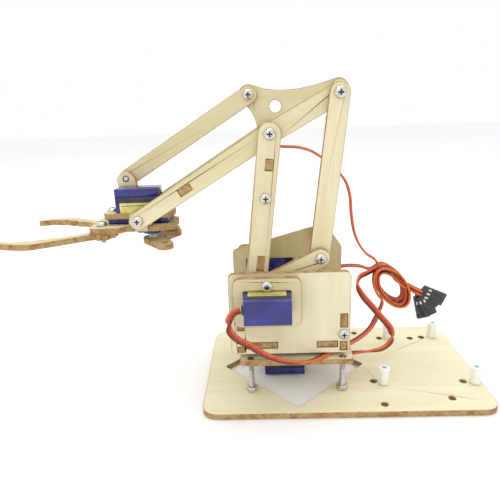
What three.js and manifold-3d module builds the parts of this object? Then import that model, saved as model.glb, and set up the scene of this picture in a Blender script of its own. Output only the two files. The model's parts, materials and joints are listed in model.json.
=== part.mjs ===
// Desktop robot arm kit: laser-cut plywood, four micro servos, parallel links.
// Millimetres. +X is forward (towards the gripper), +Y is the arm's left, +Z is up.
// The origin is on the base plate's underside, on its centre line, under the controller board.
import * as THREE from 'three';
import { mergeVertices } from 'three/addons/utils/BufferGeometryUtils.js';
import Module from 'manifold-3d';

const wasm = await Module();
wasm.setup();

// ---- driving dimensions ----
const PLY = 3; // sheet thickness
const GAP = 0.3; // clearance between touching pieces
const SCREW_R = 1.5; // M3 shank
const HOLE_R = SCREW_R + GAP;
const AXIS_X = 60; // turntable axis, from the origin

const BASE = { front: 49, rear: -99, half: 44.5, corner: 9, diamond: 40 };
const POST_AT = 24; // post spacing is twice this
const DECK = { half: 29.5, side: 27, top: 22.3, corner: 3 };
// from the turntable axis: the usual four holes of a hobby controller board
const BOARD_HOLES = [[-47, 20.2], [-95, 21.4], [-90.2, -30.3], [-62.2, -30.3]];
const STANDOFF = { tall: 9.7, radius: 3.1 };
const SPARE_HOLES = [
  [-43, 38.5], [-78, 34.5], [-42.1, 18.1], [-89.5, 19.8],
  [-42.3, -37.5], [-56.8, -29.9], [-76.1, -29], [-83.6, -29.9],
];

const WALL_Y = 24; // outer face of a side plate
const WALL = { front: 34, rear: -27.5, low: 24.5, high: 69.3, corner: 3.5 };
const FLOOR_LOW = 28;
const FRONT_WALL_X = 27;
const REAR_WALL_X = -25.8;
const CROSS_TOP = 50;

const SHOULDER = new THREE.Vector2(20, 56); // x, z of the shoulder axis
const UPPER_LEN = 80;
const FORE_LEN = 80;
const CRANK_LEN = 37.5;
const UPPER_ANGLE = THREE.MathUtils.degToRad(96.4);
const FORE_ANGLE = THREE.MathUtils.degToRad(-31);
const CRANK_ANGLE = THREE.MathUtils.degToRad(152);
const LEVEL_REAR = new THREE.Vector2(-37.5, 20.5); // shoulder to the fixed link's pivot
const LEVEL_FRONT = new THREE.Vector2(10.3, 18.9); // elbow to the front link's pivot

// layers across the arm: the face nearest the arm's left, each one sheet thick
const LAYER = {
  crank: 16, upperLeft: 12.7, foreLeft: 9.4, earLeft: 6.1,
  upperRight: -13, earRight: -13, foreRight: -16.3, level: -16.3, triangle: -19.6,
};

// standard 9 g servo
const SERVO = {
  long: 22.8, wide: 12.2, tall: 22.7, earLow: 15.9, earTop: 18.4, earSpan: 32.2,
  shaftFromEnd: 5.9, bossR: 5.7, bossTop: 24.7, shaftTop: 28.6, shaftR: 2.3,
};
const SERVO_CENTRE = SERVO.long / 2 - SERVO.shaftFromEnd; // body centre, behind the shaft

// gripper, measured from the wrist pivot
const GRIP_Y = -4.95; // its centre line
const GRIP = {
  plateTop: -3.2, front: 27, rear: -17.5, half: 11.05, wide: 14.5,
  servoX: -3.6, jawX: 21.5, jawY: 7.5, jawTop: -6.5, tail: 16,
  linkTop: -9.8, linkThick: 1.8, leverTop: -12,
};
const GRIP_COLLAR = { halfX: 18.5, halfY: 7.5, screwX: 15.2 };
const JAW_TEETH = 10;
const TAIL_ANGLE = THREE.MathUtils.degToRad(125);

// ---- worked-out places ----
const along = (from, angle, length) =>
  new THREE.Vector2(from.x + length * Math.cos(angle), from.y + length * Math.sin(angle));
const ELBOW = along(SHOULDER, UPPER_ANGLE, UPPER_LEN);
const WRIST = along(ELBOW, FORE_ANGLE, FORE_LEN);
const FORE_REAR = along(ELBOW, CRANK_ANGLE, CRANK_LEN);
const CRANK_PIN = along(SHOULDER, CRANK_ANGLE, CRANK_LEN);
const FIXED_PIN = SHOULDER.clone().add(LEVEL_REAR);
const LEVEL_BACK = ELBOW.clone().add(LEVEL_REAR);
const LEVEL_TOP = ELBOW.clone().add(LEVEL_FRONT);

// ---- materials ----
const surface = (color, roughness, metalness = 0) =>
  new THREE.MeshStandardMaterial({ color, roughness, metalness });
const PLYWOOD = surface(0xe0d3a6, 0.62);
const SERVO_BLUE = surface(0x1c2c9c, 0.25);
const STEEL = surface(0xc6c6c4, 0.3, 0.9);
const NYLON = surface(0xf2f2ee, 0.45);
const HORN_WHITE = surface(0xe8e8e4, 0.4);
const RIBBON = surface(0xc8431f, 0.5);
const CONNECTOR = surface(0x26262a, 0.5);

// ---- groups: the object, and the arm's side view, where local x, y are world x, z ----
const arm = new THREE.Group();
arm.position.x = AXIS_X;
const side = new THREE.Group();
side.rotation.x = Math.PI / 2;
arm.add(side);

function add(parent, name, geometry, material, position = [0, 0, 0], turn = 0) {
  const mesh = new THREE.Mesh(geometry, material);
  mesh.name = name;
  mesh.position.set(...position);
  mesh.rotation.z = turn;
  parent.add(mesh);
  return mesh;
}

// ---- solids ----
// shared vertices only, without the empty triangles that meeting arcs leave behind
function bare(geometry) {
  const copy = geometry.clone();
  copy.deleteAttribute('normal');
  copy.deleteAttribute('uv');
  const merged = mergeVertices(copy, 1e-4);
  const index = merged.index.array;
  const kept = [];
  for (let i = 0; i < index.length; i += 3) {
    const [a, b, c] = [index[i], index[i + 1], index[i + 2]];
    if (a !== b && b !== c && c !== a) kept.push(a, b, c);
  }
  merged.setIndex(kept);
  return merged;
}

function solid(geometry) {
  const merged = bare(geometry);
  const vertProperties = new Float32Array(merged.attributes.position.array);
  const triVerts = new Uint32Array(merged.index.array);
  return new wasm.Manifold(new wasm.Mesh({ numProp: 3, vertProperties, triVerts }));
}

function shapeOf(manifold) {
  const mesh = manifold.getMesh();
  const geometry = new THREE.BufferGeometry();
  geometry.setAttribute('position', new THREE.BufferAttribute(new Float32Array(mesh.vertProperties), 3));
  geometry.setIndex(new THREE.BufferAttribute(new Uint32Array(mesh.triVerts), 1));
  geometry.computeVertexNormals();
  return geometry;
}

function block(x0, x1, y0, y1, z0, z1) {
  const box = new THREE.BoxGeometry(x1 - x0, y1 - y0, z1 - z0);
  return box.translate((x0 + x1) / 2, (y0 + y1) / 2, (z0 + z1) / 2);
}

function disc(x, y, z0, z1, radius, sides = 24) {
  const drum = new THREE.CylinderGeometry(radius, radius, z1 - z0, sides).rotateX(Math.PI / 2);
  return drum.translate(x, y, (z0 + z1) / 2);
}

// a lathe turned so that its axis is Z
function turned(profile, sides = 16) {
  const points = profile.map(([r, z]) => new THREE.Vector2(r, z));
  return new THREE.LatheGeometry(points, sides).rotateX(Math.PI / 2);
}

// ---- flat shapes ----
function roundHole(shape, x, y, radius = HOLE_R) {
  const path = new THREE.Path();
  path.absarc(x, y, radius, 0, Math.PI * 2, true);
  shape.holes.push(path);
}

function boxHole(shape, x0, x1, y0, y1) {
  const corners = [[x0, y0], [x0, y1], [x1, y1], [x1, y0]];
  shape.holes.push(new THREE.Path(corners.map(([x, y]) => new THREE.Vector2(x, y))));
}

// a closed outline through corners, each rounded by its own radius
function rounded(corners, target = new THREE.Shape()) {
  const count = corners.length;
  corners.forEach(([x, y, radius], i) => {
    const here = new THREE.Vector2(x, y);
    const before = new THREE.Vector2(...corners[(i + count - 1) % count]).sub(here);
    const after = new THREE.Vector2(...corners[(i + 1) % count]).sub(here);
    const half = Math.acos(before.dot(after) / (before.length() * after.length())) / 2;
    const cut = radius / Math.tan(half);
    const start = here.clone().add(before.setLength(cut));
    const end = here.clone().add(after.setLength(cut));
    if (i === 0) target.moveTo(start.x, start.y);
    else target.lineTo(start.x, start.y);
    if (radius > 0) target.quadraticCurveTo(x, y, end.x, end.y);
  });
  target.closePath();
  return target;
}

const rectangle = (x0, x1, y0, y1, radius) =>
  rounded([[x0, y0, radius], [x1, y0, radius], [x1, y1, radius], [x0, y1, radius]]);

// a bar along +x with round ends about (0, 0) and (length, 0)
function barShape(length, startR, endR, holes = true) {
  const shape = new THREE.Shape();
  const lean = Math.asin((startR - endR) / length);
  shape.absarc(0, 0, startR, Math.PI / 2 - lean, Math.PI * 1.5 + lean, false);
  shape.absarc(length, 0, endR, -Math.PI / 2 + lean, Math.PI / 2 - lean, false);
  shape.closePath();
  if (holes) {
    roundHole(shape, 0, 0);
    roundHole(shape, length, 0);
  }
  return shape;
}

// a sheet of the outline, with the outline's holes cut right through
function sheet(shape, thickness = PLY, curveSegments = 5) {
  const extrude = (points, depth) =>
    new THREE.ExtrudeGeometry(new THREE.Shape(points), { depth, bevelEnabled: false });
  let body = solid(extrude(shape.getPoints(curveSegments), thickness));
  for (const hole of shape.holes) {
    const cutter = extrude(hole.getPoints(curveSegments), thickness + 2).translate(0, 0, -1);
    body = body.subtract(solid(cutter));
  }
  return shapeOf(body);
}

// ---- repeated pieces ----
// pan-head screw along +z: the shank from 0 to length, the head above it
function screw(length, headR = 2.8, headTall = 1.9) {
  return turned([
    [0, 0], [SCREW_R - 0.2, 0], [SCREW_R, 0.3], [SCREW_R, length],
    [headR, length], [headR, length + headTall * 0.45], [headR * 0.8, length + headTall * 0.85],
    [headR * 0.35, length + headTall], [0, length + headTall],
  ]);
}

// servo: shaft along +z at the origin, cable end at z = 0, body centre towards -x
function servoSolid() {
  const front = SERVO.shaftFromEnd;
  const rear = front - SERVO.long;
  const middle = -SERVO_CENTRE;
  const y = SERVO.wide / 2;
  let body = solid(block(rear, front, -y, y, 0, SERVO.tall));
  const ears = block(middle - SERVO.earSpan / 2, middle + SERVO.earSpan / 2,
    -y, y, SERVO.earLow, SERVO.earTop);
  body = body.add(solid(ears));
  for (const end of [-1, 1]) {
    body = body.subtract(solid(disc(middle + end * 14, 0, SERVO.earLow - 1, SERVO.earTop + 1, 1, 12)));
  }
  body = body.add(solid(disc(0, 0, SERVO.tall - 1, SERVO.bossTop, SERVO.bossR, 28)));
  body = body.add(solid(disc(-6.2, 0, SERVO.tall - 1, SERVO.bossTop, 2.5, 16)));
  body = body.add(solid(disc(0, 0, SERVO.bossTop - 1, SERVO.shaftTop, SERVO.shaftR, 16)));
  body = body.add(solid(block(front - 1, front + 1.2, -2.2, 2.2, 4.2, 6.6)));
  return shapeOf(body);
}

// a horn seen along the shaft: hub with a blind socket from 0 up to the arm's plate
function hornSolid(hubTall, armLength) {
  const plate = new THREE.Shape();
  plate.absarc(0, 0, 3.4, Math.PI / 2, Math.PI * 1.5, false);
  plate.absarc(armLength, 0, 2, -Math.PI / 2, Math.PI / 2, false);
  plate.closePath();
  let body = solid(sheet(plate, 1.3, 8));
  body = body.add(solid(disc(0, 0, 0.5, hubTall, 3.2, 20)));
  return shapeOf(body.subtract(solid(disc(0, 0, -1, hubTall + 1, SERVO.shaftR + GAP, 16))));
}

// the clamp that traps a servo's ears against a plate
function collarSheet(halfX, halfY, screwAt) {
  const shape = rectangle(-halfX, halfX, -halfY, halfY, 4);
  boxHole(shape, -SERVO.long / 2 - GAP, SERVO.long / 2 + GAP, -SERVO.wide / 2 - GAP, SERVO.wide / 2 + GAP);
  screwAt.forEach(([x, y]) => roundHole(shape, x, y));
  return sheet(shape);
}

// ---- base ----
function buildBase() {
  const plate = rectangle(BASE.rear, BASE.front, -BASE.half, BASE.half, BASE.corner);
  const d = BASE.diamond;
  const diamond = rounded([[d, 0, 1.5], [0, -d, 1.5], [-d, 0, 1.5], [0, d, 1.5]], new THREE.Path());
  plate.holes.push(diamond);
  for (const [x, y] of BOARD_HOLES) roundHole(plate, x, y);
  for (const [x, y] of SPARE_HOLES) roundHole(plate, x, y);
  const deck = rectangle(-DECK.half, DECK.half, -DECK.side, DECK.side, DECK.corner);
  const half = SERVO.wide / 2 + GAP;
  boxHole(deck, -SERVO.shaftFromEnd - GAP, SERVO.long - SERVO.shaftFromEnd + GAP, -half, half);

  const posts = [[1, 1], [-1, 1], [-1, -1], [1, -1]].map(([sx, sy]) => [sx * POST_AT, sy * POST_AT]);
  posts.forEach(([x, y], i) => {
    roundHole(plate, x, y);
    roundHole(deck, x, y);
    const nutLow = PLY + GAP;
    const nut = turned([[0, nutLow], [3.2, nutLow], [3.2, nutLow + 2.4], [0, nutLow + 2.4]], 6);
    const stud = turned([[0, 0], [SCREW_R, 0], [SCREW_R, DECK.top - 0.3], [0, DECK.top - 0.3]]);
    add(arm, `post_screw_${i + 1}`, shapeOf(solid(stud).add(solid(nut))), STEEL, [x, y, 0]);
  });
  add(arm, 'base_plate', sheet(plate), PLYWOOD);
  add(arm, 'servo_deck', sheet(deck), PLYWOOD, [0, 0, DECK.top - PLY]);
  const earTop = DECK.top - PLY - GAP;
  add(arm, 'base_servo', servoSolid(), SERVO_BLUE, [0, 0, earTop - SERVO.earTop], Math.PI);

  BOARD_HOLES.forEach(([x, y], i) => {
    const low = PLY + GAP;
    const top = low + STANDOFF.tall;
    const post = turned([
      [0, 0], [SCREW_R, 0], [SCREW_R, low], [STANDOFF.radius, low], [STANDOFF.radius, top], [0, top],
    ], 18);
    add(arm, `standoff_${i + 1}`, post, NYLON, [x, y, 0]);
  });
}

// ---- turntable ----
const FLOOR_TABS = [[10, 26], [-21, -11]];
const FRONT_TABS = [[26, 28.7], [38.5, 45]];
const REAR_TABS = [[26.2, 30.6], [39.2, 46.2]];

function sidePlate(outline, servo, windowRear) {
  const slot = (x0, x1, z0, z1) => boxHole(outline, x0 - GAP, x1 + GAP, z0 - GAP, z1 + GAP);
  FLOOR_TABS.forEach(([x0, x1]) => slot(x0, x1, FLOOR_LOW, FLOOR_LOW + PLY));
  FRONT_TABS.forEach(([z0, z1]) => slot(FRONT_WALL_X, FRONT_WALL_X + PLY, z0, z1));
  REAR_TABS.forEach(([z0, z1]) => slot(REAR_WALL_X, REAR_WALL_X + PLY, z0, z1));
  const half = SERVO.wide / 2 + GAP;
  boxHole(outline, windowRear - GAP, servo.x + SERVO.shaftFromEnd + GAP, servo.y - half, servo.y + half);
  roundHole(outline, REAR_WALL_X + PLY / 2, 35.2);
  for (const rise of [-8.9, 8.9]) roundHole(outline, servo.x - SERVO_CENTRE, servo.y + rise);
  return sheet(outline);
}

// a plate across the turntable, seen from the front: x across, y up
function crossSheet(tabs) {
  const inner = WALL_Y - PLY - GAP;
  const outer = WALL_Y - 0.1;
  const low = WALL.low + 0.4;
  const right = [[inner, low]];
  tabs.forEach(([z0, z1]) => right.push([inner, z0], [outer, z0], [outer, z1], [inner, z1]));
  right.push([inner, CROSS_TOP]);
  const left = right.map(([y, z]) => [-y, z]).reverse();
  return new THREE.Shape([...right, ...left].map(([y, z]) => new THREE.Vector2(y, z)));
}

function buildTurntable() {
  const inner = WALL_Y - PLY - GAP;
  const outer = WALL_Y - 0.1;
  const rear = REAR_WALL_X + PLY + GAP;
  const front = FRONT_WALL_X - GAP;
  const edge = [[front, inner]];
  FLOOR_TABS.forEach(([x0, x1]) => edge.push([x1, inner], [x1, outer], [x0, outer], [x0, inner]));
  edge.push([rear, inner]);
  const mirror = edge.map(([x, y]) => [x, -y]).reverse();
  const floor = new THREE.Shape([...edge, ...mirror].map(([x, y]) => new THREE.Vector2(x, y)));
  roundHole(floor, 0, 0, 3.6);
  add(arm, 'turntable_floor', sheet(floor), PLYWOOD, [0, 0, FLOOR_LOW]);
  const near = rectangle(WALL.rear, WALL.front, WALL.low, WALL.high, WALL.corner);
  const bodyRear = SHOULDER.x + SERVO.shaftFromEnd - SERVO.long;
  add(side, 'left_side_plate', sidePlate(near, SHOULDER, bodyRear), PLYWOOD, [0, 0, -WALL_Y]);
  const far = rounded([
    [WALL.rear, WALL.low, 3], [WALL.front, WALL.low, 3], [WALL.front, 67.5, 3],
    [-12.5, 80.2, 5], [-22, 80.2, 4], [-30, 68.5, 3], [-30, 52, 3], [WALL.rear, 48, 1],
  ]);
  roundHole(far, FIXED_PIN.x, FIXED_PIN.y);
  // the right plate's window is as long as the servo's ears
  const earRear = SHOULDER.x - SERVO_CENTRE - SERVO.earSpan / 2;
  add(side, 'right_side_plate', sidePlate(far, SHOULDER, earRear), PLYWOOD, [0, 0, WALL_Y - PLY]);

  [['front_cross_plate', FRONT_WALL_X, FRONT_TABS],
    ['rear_cross_plate', REAR_WALL_X, REAR_TABS]].forEach(([name, x, tabs]) => {
    const plate = sheet(crossSheet(tabs)).rotateX(Math.PI / 2).rotateZ(Math.PI / 2);
    add(arm, name, plate, PLYWOOD, [x, 0, 0]);
  });

  const servoX = SHOULDER.x - SERVO_CENTRE;
  const collar = collarSheet(16.8, 13, [[0, -8.9], [0, 8.9]]);
  const collarLow = WALL_Y + SERVO.earTop - SERVO.earLow + 2 * GAP;
  add(side, 'left_collar', collar, PLYWOOD, [servoX, SHOULDER.y, -collarLow - PLY]);
  add(side, 'right_collar', collar.clone(), PLYWOOD, [servoX, SHOULDER.y, collarLow]);
  const cableEnd = WALL_Y + GAP + SERVO.earTop;
  add(side, 'left_servo', servoSolid(), SERVO_BLUE, [SHOULDER.x, SHOULDER.y, -cableEnd]);
  const mirrored = servoSolid().rotateX(Math.PI);
  add(side, 'right_servo', mirrored, SERVO_BLUE, [SHOULDER.x, SHOULDER.y, cableEnd]);

  // the fixed link's pivot: a screw from outside the right side plate, with a spacer
  const spacer = turned([[0, 0], [SCREW_R, 0], [SCREW_R, 3.6], [2.6, 3.6], [2.6, 4.7], [SCREW_R, 4.7],
    [SCREW_R, 8.3], [2.8, 8.3], [2.8, 9.1], [2.2, 9.9], [0, 10.1]]);
  add(side, 'fixed_link_screw', spacer, STEEL, [FIXED_PIN.x, FIXED_PIN.y, -LAYER.level - 0.4]);
}

// ---- upper arm ----
const BRACE_TABS = [[11, 18.5], [63, 68]];
const BRACE_SHIFT = -1; // the brace sits behind the bars' centre line
const UPPER_HALF = 5.3;
const ELBOW_R = 5.6;
const HUB_R = 6.2;

function upperBar(length, start, startR) {
  const shape = barShape(length - start, startR, ELBOW_R, false);
  roundHole(shape, length - start, 0);
  const edge = -BRACE_SHIFT;
  BRACE_TABS.forEach(([s0, s1]) => {
    boxHole(shape, s0 - start - GAP, s1 - start + GAP, edge - PLY / 2 - GAP, edge + PLY / 2 + GAP);
  });
  return shape;
}

function buildUpperArm() {
  const start = 6.5;
  const left = upperBar(UPPER_LEN, start, UPPER_HALF);
  // only the stretch beyond the crank's hub: its lower end is cut square
  const cut = solid(sheet(left)).subtract(solid(block(-20, 1, -20, 20, -1, PLY + 1)));
  const at = along(SHOULDER, UPPER_ANGLE, start);
  add(side, 'upper_arm_left', shapeOf(cut), PLYWOOD, [at.x, at.y, -LAYER.upperLeft], UPPER_ANGLE);
  const right = upperBar(UPPER_LEN, 0, HUB_R);
  roundHole(right, 0, 0, 3.6);
  add(side, 'upper_arm_right', sheet(right), PLYWOOD,
    [SHOULDER.x, SHOULDER.y, -LAYER.upperRight], UPPER_ANGLE);

  // brace: x along the arm, y across; it stands edge-on between the bars
  const inner = [LAYER.upperRight + GAP, LAYER.upperLeft - PLY - GAP];
  const outer = [LAYER.upperRight - PLY + 0.1, LAYER.upperLeft - 0.1];
  const edgeOf = (sideIndex) => BRACE_TABS.flatMap(([s0, s1]) => [
    [s0, inner[sideIndex]], [s0, outer[sideIndex]], [s1, outer[sideIndex]], [s1, inner[sideIndex]],
  ]);
  const outline = [...edgeOf(1), ...edgeOf(0).reverse()];
  const brace = sheet(new THREE.Shape(outline.map(([s, y]) => new THREE.Vector2(s, y))));
  brace.rotateX(-Math.PI / 2).translate(0, -BRACE_SHIFT - PLY / 2, 0);
  add(side, 'upper_arm_brace', brace, PLYWOOD, [SHOULDER.x, SHOULDER.y, 0], UPPER_ANGLE);

  const horn = hornSolid(4.2, 15);
  add(side, 'shoulder_horn', horn.clone().rotateX(Math.PI), HORN_WHITE,
    [SHOULDER.x, SHOULDER.y, -LAYER.upperRight + PLY + GAP + 1.3], UPPER_ANGLE);
  add(side, 'elbow_screw_left', screw(6.8).rotateX(Math.PI), STEEL,
    [ELBOW.x, ELBOW.y, -LAYER.upperLeft - GAP + 6.8]);
  add(side, 'elbow_screw_right', screw(10), STEEL,
    [ELBOW.x, ELBOW.y, -LAYER.triangle + PLY + GAP - 10]);
}

// ---- elbow drive ----
function buildDrive() {
  const crank = barShape(CRANK_LEN, 6, 5);
  crank.holes.shift();
  roundHole(crank, 0, 0, 3.6);
  add(side, 'elbow_crank', sheet(crank), PLYWOOD, [SHOULDER.x, SHOULDER.y, -LAYER.crank], CRANK_ANGLE);
  add(side, 'elbow_horn', hornSolid(4.2, 15), HORN_WHITE,
    [SHOULDER.x, SHOULDER.y, -LAYER.crank - GAP - 1.3], CRANK_ANGLE);
  add(side, 'crank_screw', screw(7).rotateX(Math.PI), STEEL,
    [CRANK_PIN.x, CRANK_PIN.y, -LAYER.crank - GAP + 7]);
  add(side, 'drive_link', sheet(barShape(UPPER_LEN, 5.2, 4.8)), PLYWOOD,
    [CRANK_PIN.x, CRANK_PIN.y, -LAYER.upperLeft], UPPER_ANGLE);
}

// ---- parallel links that keep the gripper level ----
function triangleShape() {
  const shape = new THREE.Shape();
  const r = 5.3;
  const front = LEVEL_FRONT;
  const back = LEVEL_REAR;
  shape.absarc(0, 0, 6, Math.PI * 1.15, Math.PI * 1.95, false);
  shape.quadraticCurveTo(front.x * 0.55, front.y * 0.55, front.x + r * 0.9, front.y - r * 0.5);
  shape.absarc(front.x, front.y, r, -0.5, Math.PI * 0.6, false);
  shape.quadraticCurveTo(-8, 16.5, back.x + 1, back.y + r);
  shape.absarc(back.x, back.y, r, Math.PI * 0.5, Math.PI * 1.35, false);
  shape.closePath();
  roundHole(shape, 0, 0);
  roundHole(shape, front.x, front.y);
  roundHole(shape, back.x, back.y);
  roundHole(shape, -4, 12.6, 3.4);
  return shape;
}

function buildLevelLinks() {
  add(side, 'rear_level_link', sheet(barShape(UPPER_LEN, 4.6, 4.6)), PLYWOOD,
    [FIXED_PIN.x, FIXED_PIN.y, -LAYER.level], UPPER_ANGLE);
  add(side, 'level_triangle', sheet(triangleShape()), PLYWOOD, [ELBOW.x, ELBOW.y, -LAYER.triangle]);
  add(side, 'front_level_link', sheet(barShape(FORE_LEN, 4.6, 4.6)), PLYWOOD,
    [LEVEL_TOP.x, LEVEL_TOP.y, -LAYER.level], FORE_ANGLE);
  for (const [name, at] of [['triangle_screw_front', LEVEL_TOP], ['triangle_screw_rear', LEVEL_BACK]]) {
    add(side, name, screw(6.9).rotateX(Math.PI), STEEL, [at.x, at.y, -LAYER.level - GAP + 6.9]);
  }
}

// ---- forearm ----
const FORE_TABS = [47, 53.5];
const FORE_HALF = 5;

function foreBar(rearArm) {
  const shape = new THREE.Shape();
  const bend = CRANK_ANGLE - FORE_ANGLE;
  const r = FORE_HALF;
  const end = { x: CRANK_LEN * Math.cos(bend), y: CRANK_LEN * Math.sin(bend) };
  shape.absarc(FORE_LEN, 0, r - 0.4, -Math.PI / 2, Math.PI / 2, false);
  shape.lineTo(0, r);
  if (rearArm) {
    shape.absarc(end.x, end.y, r - 0.2, bend - Math.PI / 2, bend + Math.PI / 2, false);
    shape.lineTo(0, -r);
  } else shape.absarc(0, 0, r, Math.PI / 2, Math.PI * 1.5, false);
  shape.closePath();
  roundHole(shape, 0, 0);
  roundHole(shape, FORE_LEN, 0);
  if (rearArm) roundHole(shape, end.x, end.y);
  boxHole(shape, FORE_TABS[0] - GAP, FORE_TABS[1] + GAP, -PLY / 2 - GAP, PLY / 2 + GAP);
  return sheet(shape);
}

function buildForearm() {
  const place = (name, geometry, z) =>
    add(side, name, geometry, PLYWOOD, [ELBOW.x, ELBOW.y, z], FORE_ANGLE);
  place('forearm_left', foreBar(true), -LAYER.foreLeft);
  place('forearm_right', foreBar(false), -LAYER.foreRight);
  const left = LAYER.foreLeft - PLY - GAP;
  const right = LAYER.foreRight + GAP;
  const outline = [
    [FORE_TABS[0], left], [FORE_TABS[0], left + PLY + 0.2], [FORE_TABS[1], left + PLY + 0.2],
    [FORE_TABS[1], left], [60, left], [60, right], [FORE_TABS[1], right],
    [FORE_TABS[1], right - PLY - 0.2], [FORE_TABS[0], right - PLY - 0.2], [FORE_TABS[0], right],
    [41, right], [41, left],
  ];
  const brace = sheet(new THREE.Shape(outline.map(([s, y]) => new THREE.Vector2(s, y))));
  place('forearm_brace', brace.rotateX(-Math.PI / 2).translate(0, -PLY / 2, 0), 0);
  add(side, 'forearm_rear_screw', screw(6.8).rotateX(Math.PI), STEEL,
    [FORE_REAR.x, FORE_REAR.y, -LAYER.upperLeft - GAP + 6.8]);
}

// ---- gripper ----
const LEFT_EAR_TABS = [[-4, 3]];
const RIGHT_EAR_TABS = [[-13, -7], [1, 7]];

function earSheet(outline, holes, tabs) {
  const shape = rounded(outline);
  holes.forEach(([x, z]) => roundHole(shape, x, z));
  const low = GRIP.plateTop + GAP + 0.1;
  let body = solid(sheet(shape));
  tabs.forEach(([x0, x1]) => {
    body = body.add(solid(block(x0, x1, GRIP.plateTop - PLY, low, 0, PLY)));
  });
  return shapeOf(body);
}

function jawSheet(handed) {
  const shape = new THREE.Shape();
  const pitch = GRIP.jawY;
  const steps = 60;
  const phase = handed > 0 ? 0 : Math.PI;
  const rim = (angle) => pitch - 0.35 + 0.75 * Math.cos(JAW_TEETH * (angle + Math.PI / 2 * handed) + phase);
  for (let i = 0; i < steps; i += 1) {
    const angle = (i / steps) * Math.PI * 2;
    const r = rim(angle);
    if (i === 0) shape.moveTo(r, 0);
    else shape.lineTo(r * Math.cos(angle), r * Math.sin(angle));
  }
  shape.closePath();
  roundHole(shape, 0, 0);
  let body = solid(sheet(shape));
  const h = handed;
  const finger = new THREE.Shape();
  finger.moveTo(3, 5.5 * h);
  finger.quadraticCurveTo(16, 14 * h, 28, 21 * h);
  finger.quadraticCurveTo(33, 23.4 * h, 47, 18.2 * h);
  finger.lineTo(48.5, 15.4 * h);
  finger.lineTo(46.5, 14.6 * h);
  finger.quadraticCurveTo(41, 17 * h, 37.5, 16.2 * h);
  for (const x of [31, 25, 19]) {
    finger.quadraticCurveTo(x + 3.5, (x * 0.42 + 1.2) * h, x, (x * 0.42 + 2.2) * h);
  }
  finger.lineTo(6.5, 1.5 * h);
  finger.closePath();
  body = body.add(solid(sheet(finger)));
  if (handed < 0) {
    const tail = solid(sheet(barShape(GRIP.tail, 5, 3.6, false)).rotateZ(-TAIL_ANGLE));
    body = body.add(tail);
    const end = along({ x: 0, y: 0 }, -TAIL_ANGLE, GRIP.tail);
    body = body.subtract(solid(disc(end.x, end.y, -1, PLY + 1, HOLE_R, 16)));
  }
  return shapeOf(body.subtract(solid(disc(0, 0, -1, PLY + 1, HOLE_R, 20))));
}

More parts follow.
